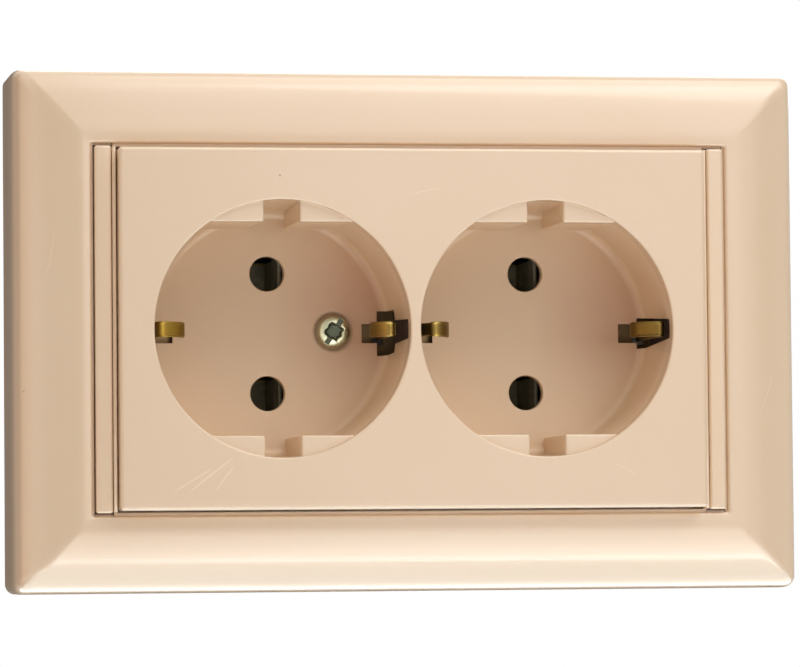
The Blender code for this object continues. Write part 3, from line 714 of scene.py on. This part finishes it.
def well_bore(well_x):
    """Bore with a rounded rim, slightly tapered wall and rounded floor corner."""
    rim = 0.22
    profile = [(0.0, FACE_Z + 1.0), (RIM_R + rim, FACE_Z + 1.0), (RIM_R + rim, FACE_Z)]
    for i in range(1, 6):
        angle = math.radians(90 * i / 5)
        profile.append((RIM_R + rim - rim * math.sin(angle),
                        FACE_Z - rim + rim * math.cos(angle)))
    profile += [(WELL_R + 0.1, FLOOR_Z + 1.55)]
    profile += arc(WELL_R - 1.4, FLOOR_Z + 1.5, 1.5, 0, -90, 9)[1:] + [(0.0, FLOOR_Z)]
    return turned(profile, 192, at=(well_x, 0.0))


def key(well_x, sx, sy):
    """Upright block cut off from the well's circle by a level line and the notch."""
    radius = WELL_R + 0.7
    start, end = math.asin(KEY_Y / radius), math.acos((KEY_NOTCH / 2) / radius)
    angles = [start + (end - start) * i / 12 for i in range(13)]
    points = [(KEY_NOTCH / 2, KEY_Y)]
    points += [(radius * math.cos(a), radius * math.sin(a)) for a in angles]
    outline = [(well_x + sx * x, sy * y) for x, y in points]
    return bevelled(prism(outline, FLOOR_Z - 0.5, KEY_Z), 0.28, 3, 50)


def floor_holes():
    """Pin holes, the rear rivet pocket and the cover screw's countersunk hole."""
    through = FLOOR_BACK - 1.0
    pin = [(0.0, FLOOR_Z + 1.0), (PIN_HOLE_R + 0.22, FLOOR_Z + 1.0), (PIN_HOLE_R + 0.22, FLOOR_Z),
           (PIN_HOLE_R + 0.07, FLOOR_Z - 0.08), (PIN_HOLE_R, FLOOR_Z - 0.25),
           (PIN_HOLE_R, through), (0.0, through)]
    rivet = [(0.0, FLOOR_BACK + 0.8), (3.1, FLOOR_BACK + 0.8), (3.1, through), (0.0, through)]
    # radius, depth below the well's floor
    dished = [(0.0, -0.5), (3.6, -0.5), (3.6, 0.0), (3.4, 0.02), (3.2, 0.07), (3.02, 0.16),
              (2.9, 0.3), (2.82, 0.45), (2.78, 0.6), (1.8, 0.6)]
    screw_hole = [(radius, FLOOR_Z - depth) for radius, depth in dished]
    screw_hole += [(1.8, through), (0.0, through)]
    holes = [turned(pin, 48, at=(sx * WELL_X, sy * PIN_Y)) for sx in (-1, 1) for sy in (-1, 1)]
    holes.append(turned(rivet, 40, at=(RIVET_X, 0.0)))
    holes.append(turned(screw_hole, 64, at=(SCREW_X, SCREW_Y)))
    return joined(holes)


def floor_slot(well_x, side, near, far, half):
    return box((well_x + side * near, well_x + side * far), (-half, half),
               (FLOOR_BACK - 1.0, FLOOR_Z + 0.2))


def wall_slot(well_x, side, near, far, foot, top):
    """Cutter for the well's wall; foot and top are ends (y0, y1), and top adds its z."""
    foot_z = FLOOR_Z - 0.4
    y0, y1, top_z = top
    outline = [(foot[0], foot_z), (foot[1], foot_z), (y1, top_z), (y0, top_z)]
    return prism(outline, well_x + side * near, well_x + side * far, ACROSS)


def clip_cutters():
    """Floor slots for upright and tip, the notches at the slots' feet, then the pockets."""
    uprights, tips, notches, pockets = [], [], [], []
    for well_x, side, kind in CLIP_SITES:
        near, half = UPRIGHT_SLOT[kind]
        uprights.append(floor_slot(well_x, side, near, UPRIGHT_SLOT_FAR, half))
        tips.append(floor_slot(well_x, side, TIP_SLOT_NEAR, TIP_SLOT_FAR[kind], TIP_SLOT_HALF))
        if kind == "inner":
            notches.append(wall_slot(well_x, side, NOTCH_NEAR, NOTCH_FAR,
                                     foot=(-3.55, 3.55), top=(-3.2, 3.5, NOTCH_TOP)))
        far, half = POCKET[kind]
        pockets.append(wall_slot(well_x, side, POCKET_NEAR, far, foot=(-half, half),
                                 top=(-POCKET_TOP_HALF, POCKET_TOP_HALF, FACE_Z - 2.0)))
    return [joined(group) for group in (uprights, tips, notches, pockets)]


def socket_cover_mesh():
    wells = (-WELL_X, WELL_X)
    steps = [("DIFFERENCE", plate_hollow())]
    steps += [("UNION", cup(well_x)) for well_x in wells]
    steps.append(("DIFFERENCE", joined([well_bore(well_x) for well_x in wells])))
    keys = [key(well_x, sx, sy) for well_x in wells for sx in (-1, 1) for sy in (-1, 1)]
    steps.append(("UNION", joined(keys)))
    steps.append(("DIFFERENCE", floor_holes()))
    steps += [("DIFFERENCE", cutter) for cutter in clip_cutters()]
    return boolean(cover_plate(), *steps)


def front_centre(face):
    """Middle of a face in the front frame."""
    return face.center.x / MM, face.center.z / MM, -face.center.y / MM


def paint_slot_shade(mesh):
    """Give the faces inside the clip slots and their pockets the second material, a near-black
    painted shade.
    """
    mesh.materials.append(M_SLOT_SHADE)
    for face in mesh.polygons:
        x, y, z = front_centre(face)
        for well_x, side, kind in CLIP_SITES:
            out = side * (x - well_x)
            radius = math.hypot(out, y)
            # on the left of each well only the depth of the floor slots gets the painted shade
            if side < 0 and z > FLOOR_Z - 0.6 or radius > 21.03:
                continue
            inner = kind == "inner"
            in_floor = (z < FLOOR_Z - 0.02 and 15.1 < out < 20.7
                        and abs(y) < (3.57 if inner else 2.47) and abs(face.normal.y) < 0.5)
            half = 3.6 if inner and z < NOTCH_TOP + 0.05 else 2.5
            in_wall = (FLOOR_Z - 0.5 < z < FACE_Z - 1.95 and 18.1 < out and abs(y) < half
                       and radius > WELL_R + 0.20 + 0.026 * (z - FLOOR_Z))
            if in_floor or in_wall:
                face.material_index = 1


cover = add_piece("socket_cover_moulding", socket_cover_mesh(), M_FACE, "front_cover",
                  "socket_cover", 32)
paint_slot_shade(cover.data)


# ================================================================ screws
def pan_head(radius, top, seat):
    """Profile of a slightly domed head from its centre out and along to its seat."""
    rise = top - seat
    return [(0.0, top), (radius * 0.35, top - math.copysign(0.02, rise)),
            (radius * 0.62, top - rise * 0.06), (radius * 0.82, top - rise * 0.17),
            (radius * 0.94, top - rise * 0.34), (radius, top - rise * 0.58),
            (radius, seat + rise * 0.08), (radius * 0.97, seat)]


def screw_mesh(at, head_radius, top, seat, shank, neck, tip, pitch=0.5, depth=0.18,
               segments=40, fillet=0.1):
    """Pan head, plain neck, then a helical thread with a tapering end along z."""
    head = pan_head(head_radius, top, seat)
    head += [(shank + 0.05, seat), (shank, seat - math.copysign(fillet, top - seat)),
             (shank, neck)]
    bm = bmesh.new()
    top_vert = bm.verts.new((at[0] * MM, at[1] * MM, top * MM))
    rings = [ring_verts(bm, at, [radius] * segments, z) for radius, z in head[1:]]
    span = abs(tip - neck)
    rows = int(span / (pitch / 8))
    for k in range(rows + 1):
        z = neck + (tip - neck) * k / rows
        taper = min(1.0, 0.55 + 0.45 * (span * (1 - k / rows)))
        grow = min(1.0, k / 6.0)
        radii = []
        for i in range(segments):
            phase = (z / pitch - i / segments) % 1.0
            crest = 1 - abs(2 * phase - 1)
            radii.append((shank - depth * grow * (1 - min(1.0, crest * 1.35))) * taper)
        rings.append(ring_verts(bm, at, radii, z))
    end_z = tip + math.copysign(0.25, tip - neck)
    end_vert = bm.verts.new((at[0] * MM, at[1] * MM, end_z * MM))
    for upper, lower in zip(rings, rings[1:]):
        spun_band(bm, upper, lower, segments)
    for i in range(segments):
        j = (i + 1) % segments
        bm.faces.new((top_vert, rings[0][i], rings[0][j]))
        bm.faces.new((end_vert, rings[-1][j], rings[-1][i]))
    return to_mesh(bm)


def recess_cutters(at, top, toward, half, width, depth, turn):
    """Cutters for a slot and a shorter cross with tapered arms; toward is +1 for the front."""
    x, y = at
    cross = half * 0.62
    cutters = []
    # half length, angle from the slot, share of the width, share of the depth
    for length, angle, width_share, depth_share in (
            (half, 0.0, 1.0, 1.0), (cross, 90.0, 0.95, 1.25),
            (cross * 0.9, 45.0, 0.32, 0.8), (cross * 0.9, 135.0, 0.32, 0.8)):
        bottom = depth * depth_share
        lo, hi = (top - bottom, top + 0.6) if toward > 0 else (top - 0.6, top + bottom)
        size = Vector((2 * length, width * width_share, hi - lo)) * MM
        place = Matrix.Translation(Vector((x, y, (lo + hi) / 2)) * MM)
        place = place @ Matrix.Rotation(math.radians(turn + angle), 4, "Z")
        bm = bmesh.new()
        bmesh.ops.create_cube(bm, size=1.0, matrix=place @ Matrix.Diagonal((*size, 1.0)))
        if angle:
            # arms narrow towards the bottom of the recess
            deep = (lo if toward > 0 else hi) * MM
            centre = Vector((x, y, 0)) * MM
            for v in bm.verts:
                if abs(v.co.z - deep) < 1e-7:
                    v.co.x = centre.x + (v.co.x - centre.x) * 0.62
                    v.co.y = centre.y + (v.co.y - centre.y) * 0.62
        cutters.append(to_mesh(bm))
    return cutters


WORN_RADII = [1.86, 1.52, 1.72, 1.38, 1.80, 1.62, 1.30, 1.66,
              1.84, 1.48, 1.70, 1.32, 1.88, 1.44, 1.64, 1.40]


def worn_recess(at, top, turn):
    """Wide tapered hole with a ragged star outline, like a much used cross recess."""
    bm = bmesh.new()
    loops = []
    for share, z in ((1.0, top + 0.4), (1.0, top), (0.82, top - 0.35), (0.60, top - 0.7)):
        loop = []
        for i, radius in enumerate(WORN_RADII):
            angle = math.radians(turn + 22.5 * i)
            loop.append(bm.verts.new(((at[0] + radius * share * math.cos(angle)) * MM,
                                      (at[1] + radius * share * math.sin(angle)) * MM, z * MM)))
        loops.append(loop)
    for first, second in zip(loops, loops[1:]):
        quad_band(bm, first, second)
    bm.faces.new(loops[0])
    bm.faces.new(loops[-1])
    return to_mesh(bm)


def add_zinc(name, mesh, body, smooth_angle=30):
    return add_piece(name + "_fine", mesh, M_ZINC, body, name, smooth_angle)


def add_cover_screw():
    at, top = (SCREW_X, SCREW_Y), 6.6
    mesh = screw_mesh(at, head_radius=2.65, top=top, seat=5.0, shank=1.45, neck=1.0, tip=-7.6)
    slot = recess_cutters(at, top, toward=1, half=3.0, width=0.80, depth=0.42, turn=57.0)[0]
    mesh = cut(mesh, slot, worn_recess(at, top, turn=12.0))
    screw = add_zinc("cover_screw", mesh, "front_screw")
    # the inside of the recess is painted darker, as painted shade
    screw.data.materials.append(M_RECESS_SHADE)
    for face in screw.data.polygons:
        x, y, z = front_centre(face)
        if 5.3 < z < 6.40 and math.hypot(x - SCREW_X, y - SCREW_Y) < 1.9:
            face.material_index = 1


def add_screw(name, body, at, size, recess, turn):
    toward = 1 if size["top"] > size["seat"] else -1
    cutters = recess_cutters(at, size["top"], toward, turn=turn, **recess)
    add_zinc(name, cut(screw_mesh(at, **size), *cutters), body)


TERMINAL_SCREW = dict(head_radius=2.5, top=-20.2, seat=-18.2, shank=1.4, neck=-17.2, tip=-11.5)
TERMINAL_RECESS = dict(half=2.8, width=0.65, depth=0.9)
CLAW_SCREW = dict(head_radius=2.7, top=4.3, seat=2.3, shank=1.5, neck=-1.0, tip=-11.9,
                  pitch=0.7, depth=0.25)
CLAW_RECESS = dict(half=3.0, width=0.8, depth=1.0)
CAP_SCREW = dict(head_radius=2.2, top=-22.7, seat=-21.95, shank=1.0, neck=-20.5, tip=-14.3,
                 pitch=0.8, depth=0.2, segments=28, fillet=0.15)
CAP_RECESS = dict(half=1.5, width=0.5, depth=0.5)
WASHER = [(1.75, 4.85), (2.35, 4.85), (2.5, 4.78), (2.5, 4.52), (2.35, 4.45), (1.75, 4.45)]

add_cover_screw()
add_zinc("cover_screw_washer", turned(WASHER, 48, True, (SCREW_X, SCREW_Y)), "screw_washer", 35)
for pole, y in (("line", PIN_Y), ("neutral", -PIN_Y), ("earth", 0.0)):
    add_screw(pole + "_terminal_screw", pole + "_screw", (0.0, y), TERMINAL_SCREW,
              TERMINAL_RECESS, turn=35.0 + 40.0 * y / PIN_Y)
for level, sign in (("upper", 1), ("lower", -1)):
    add_screw("claw_screw_" + level, level + "_claw_screw", (0.0, sign * 20.0), CLAW_SCREW,
              CLAW_RECESS, turn=20.0 * sign)
for hand, sign in (("left", -1), ("right", 1)):
    add_screw("rear_cap_screw_" + hand, "root", (sign * 20.5, 0.0), CAP_SCREW,
              CAP_RECESS, turn=30.0 * sign)

# ================================================================ earth clips
# paths from foot to free end: (distance from the well's centre, z)
INNER_HOOK = [(17.55, 19.7), (17.05, 19.72), (16.4, 19.3), (15.6, 18.4), (15.05, 17.4),
              (14.8, 16.5), (14.85, 15.7), (15.45, 14.5)]
CLIP_PATHS = {
    "outer": [(18.8, 2.65), (18.8, 4.4), (18.95, 11.0), (19.2, 18.3), (19.22, 19.1),
              (18.95, 19.6), (18.4, 19.72), (17.6, 19.3), (16.4, 18.4), (15.45, 17.45),
              (14.95, 16.6), (14.85, 15.9), (15.2, 14.7)],
    "inner": [(18.0, 2.65), (18.0, 4.4), (17.95, 11.0), (17.95, 18.6), (17.88, 19.25)]
    + INNER_HOOK}
# the right-hand well's inner clip stands bowed away from the well's centre
BOWED_PATH = [(18.0, 2.65), (18.05, 4.4), (18.35, 9.0), (19.2, 14.0), (19.42, 15.6),
              (19.2, 16.9), (18.6, 18.2), (18.0, 19.2)] + INNER_HOOK
FLANGE = {"outer": 0.34, "inner": 0.16}
SECTION_STEPS = 14


def clip_section(half, flange):
    """Channel section as (across, offset): one skin, then the other back again."""
    section = []
    for skin in (1, -1):
        for k in range(SECTION_STEPS + 1):
            across = (-1 + 2 * k / SECTION_STEPS) * skin
            lift = flange * ramp((abs(across) - 0.70) / 0.2) ** 1.4
            thinning = 0.09 * max(0.0, (abs(across) - 0.86) / 0.14) ** 2
            section.append((across * half, lift + skin * (CLIP_THICK - thinning)))
    return section


def clip_mesh(well_x, side, kind):
    """Flanged strip swept along the clip's path, flat and narrowing at its free end."""
    points = BOWED_PATH if well_x > 0 and side < 0 else CLIP_PATHS[kind]
    path = with_normals(smooth_path(points, 0.22))
    bm = bmesh.new()
    rings = []
    for i, (point, normal) in enumerate(path):
        along = i / (len(path) - 1)
        half = CLIP_HALF
        if kind == "inner":
            half *= 1.0 - 0.16 * ramp((0.74 - along) / 0.04)  # narrower riser
        if along > 0.90:
            end = (along - 0.90) / 0.10
            half *= math.sqrt(max(0.25, 1.0 - 0.85 * end * end))
        flange = FLANGE[kind] * (ramp((along - 0.70) / 0.03) * ramp((0.90 - along) / 0.04))
        ring = []
        for across, offset in clip_section(half, flange):
            place = point - normal * offset
            ring.append(bm.verts.new(((well_x + side * place.x) * MM, place.y * MM, across * MM)))
        rings.append(ring)
    for first, second in zip(rings, rings[1:]):
        quad_band(bm, first, second)
    bm.faces.new(rings[0])
    bm.faces.new(rings[-1])
    return to_mesh(bm, SIDE)


# the outer clips get lit and shaded copies of the brass: painted light on the left well's, painted
# shade on the right well's
CLIP_MATERIALS = {"left_outer": M_CLIP_LIT, "right_outer": M_CLIP_SHADED}
for well_x, side, kind in CLIP_SITES:
    site = ("left_" if well_x < 0 else "right_") + kind
    add_piece(f"earth_clip_{site}_fine", clip_mesh(well_x, side, kind),
              CLIP_MATERIALS.get(site, M_CLIP), "clip_" + site, "earth_clip_" + site,
              40)

# ================================================================ CAD nodes that keep their shape
KEPT = (
    (M_STRAP_SHADE, ["earth_strap"]),
    (M_BRASS, ["earth_rivet", "earth_terminal_plate", "line_busbar", "neutral_busbar",
               "cover_screw_insert"]),
    (M_JAW, ["pin_jaw_line_left", "pin_jaw_line_right", "pin_jaw_neutral_left",
             "pin_jaw_neutral_right"]),
    (M_ZINC, ["line_clamp_plate", "neutral_clamp_plate", "earth_clamp_plate",
              "line_terminal_nut", "neutral_terminal_nut", "earth_terminal_nut"]),
    (M_STEEL, ["mounting_plate", "claw_upper", "claw_lower"]),
    (M_BASE, ["contact_base"]),
    (M_CAP, ["rear_cap"]))
for material, names in KEPT:
    for name in names:
        if not nodes[name].hide_render:
            dress(nodes[name].data, material, 32)

# ================================================================ floor (metres)
FLOOR_RADIUS, FLOOR_LEVEL, FLOOR_SIDES = 1.2, -0.62, 96
APRON_REACH = 4.5  # apron radius over floor radius


def floor_material():
    mat = Material("pale_floor", (0.9, 0.9, 0.88))
    cloud = mat.noise(scale=3.0, detail=2.0)
    mat.set(Base_Color=mat.mix(cloud, (0.93, 0.93, 0.92), (0.90, 0.90, 0.89)), Roughness=0.7)
    return mat.material


def add_floor(name, bm, material):
    mesh = raw_mesh(bm, name)
    mesh.materials.append(material)
    ob = add_object(name, mesh)
    ob.location = (0, 0, FLOOR_LEVEL)
    return ob


def disc():
    bm = bmesh.new()
    bmesh.ops.create_circle(bm, cap_ends=True, segments=FLOOR_SIDES, radius=FLOOR_RADIUS)
    return bm


def apron_ring():
    bm = bmesh.new()
    angles = [2 * math.pi * i / FLOOR_SIDES for i in range(FLOOR_SIDES)]
    near = [bm.verts.new((FLOOR_RADIUS * math.cos(a), FLOOR_RADIUS * math.sin(a), 0.0))
            for a in angles]
    far = [bm.verts.new((v.co.x * APRON_REACH, v.co.y * APRON_REACH, 0.0)) for v in near]
    quad_band(bm, near, far)
    return bm


pale_floor = floor_material()
add_floor("floor", disc(), pale_floor)
# the floor carries on beyond the lit disc, without shading the scene
apron = add_floor("floor_apron", apron_ring(), pale_floor)
apron.visible_diffuse = False
apron.visible_glossy = False
apron.visible_shadow = False


# ================================================================ lights (metres, watts)
def area(name, location, power, size, target=(0, 0, 0), colour=(1, 1, 1)):
    light = bpy.data.lights.new(name, "AREA")
    light.shape = "RECTANGLE"
    light.size, light.size_y = size
    light.energy = power
    light.color = colour
    ob = add_object(name, light)
    ob.location = location
    aim = Vector(target) - Vector(location)
    ob.rotation_euler = aim.to_track_quat("-Z", "Y").to_euler()
    return ob


area("key_upper_right", (0.58, -0.62, 0.86), power=4.7, size=(0.95, 0.6))
area("low_front", (0.10, -0.72, -0.95), power=13.0, size=(1.5, 0.3))
area("back_fill", (0.3, 0.9, 0.5), power=4.0, size=(0.8, 0.8))
sheen = area("low_sheen", (0.2, -0.32, -0.60), power=40.0, size=(1.4, 2.1),
             target=(0.2, -0.32, 0.4), colour=(0.85, 0.97, 1.0))
sheen.visible_camera = False
sheen.visible_diffuse = False


# ================================================================ world
def room_light(x, y, z):
    """Brightness by direction: strong from below, weak from the left and far behind."""
    low = z.range((-0.85, 0.10), to=(1.92, 0.98))
    side = x.range((-1.0, -0.1), to=(0.40, 1.0))
    front = y.range((-0.95, -0.55), to=(0.40, 1.27))
    dark_left = (x.range((-0.85, -0.35), to=(1.0, 0.0))
                 * y.range((-0.15, 0.25), to=(0.0, 0.93)))
    behind = (y.range((0.74, 0.93), to=(1.0, 0.06))
              * x.range((0.25, 0.85), to=(1.0, 0.34)))
    return (low * side) * ((1.0 - dark_left) * front) * behind


def soft_boxes(x, y, z):
    """Boxes in front: high right, face right with a slanting lower edge, low, and left."""
    high_gain, edge_gain, low_gain, left_gain = 3.6, 0.9, 5.0, 1.0
    high = z.range((0.12, 0.25))
    high_box = high * x.range((0.094, 0.113)) * high_gain
    slant = z + x * 0.30
    wide = (x.range((0.085, 0.165), to=(0.0, 2.5))
            * x.range((0.19, 0.27), to=(1.0, 0.65)))
    edge = slant.range((0.112, 0.121)) * x.range((0.085, 0.115)) * edge_gain
    face_box = (wide + edge) * (1.0 - high)
    low_box = (z.range((-0.30, -0.12), to=(1.0, 0.0))
               * x.range((-0.05, 0.12), to=(0.2, 1.0)) * low_gain)
    left_box = x.range((-0.60, -0.20), to=(1.0, 0.0)) * left_gain
    right_fade = x.range((0.38, 0.55), to=(1.0, 0.12))
    in_front = y.range((-0.05, 0.10), to=(1.0, 0.0))
    return ((high_box + face_box + low_box) * right_fade + left_box) * in_front


def build_world():
    """Plain white to the camera; a shaped studio to every other ray."""
    world = bpy.data.worlds.new("studio")
    bpy.context.scene.world = world
    graph = Graph(world, easing="SMOOTHSTEP")
    at = graph.split(graph.add("ShaderNodeTexCoord", output="Generated"))
    x, y, z = at["X"], at["Y"], at["Z"]
    rays = graph.add("ShaderNodeLightPath")
    # the boxes only show as reflections in the gloss
    strength = room_light(x, y, z) + soft_boxes(x, y, z) * rays["Is Glossy Ray"]
    warm_left = graph.mix(x.range((-0.95, -0.45)), (1.0, 0.70, 0.52), (1.0, 0.98, 0.96))
    studio = graph.add("ShaderNodeBackground", {"Color": warm_left, "Strength": strength})
    white = graph.add("ShaderNodeBackground", {"Color": (1.0, 1.0, 1.0), "Strength": 1.0})
    seen = graph.add("ShaderNodeMixShader", {0: rays["Is Camera Ray"], 1: studio, 2: white})
    graph.finish("ShaderNodeOutputWorld", seen)


build_world()

# ================================================================ camera
CAMERA_AT = Vector((-0.1268, -0.7471, -0.0364))  # metres
CAMERA_TURN = (-2.81, 9.72, 0.03)  # degrees about x, y, z
LENS, SENSOR = 213.03, 36.0


def add_camera():
    turn_x, turn_y, turn_z = (Matrix.Rotation(math.radians(angle), 3, axis)
                              for angle, axis in zip(CAMERA_TURN, "XYZ"))
    to_camera = turn_z @ turn_y @ turn_x @ Matrix(((1, 0, 0), (0, 0, 1), (0, -1, 0)))
    data = bpy.data.cameras.new("camera")
    camera = add_object("camera", data)
    camera.matrix_world = Matrix.Translation(CAMERA_AT) @ to_camera.transposed().to_4x4()
    data.sensor_width = SENSOR
    data.lens = LENS
    data.clip_start, data.clip_end = 0.01, 30.0
    bpy.context.scene.camera = camera


view = bpy.context.scene.view_settings
view.view_transform = "Standard"
view.look = "None"
view.exposure = 0.0
add_camera()
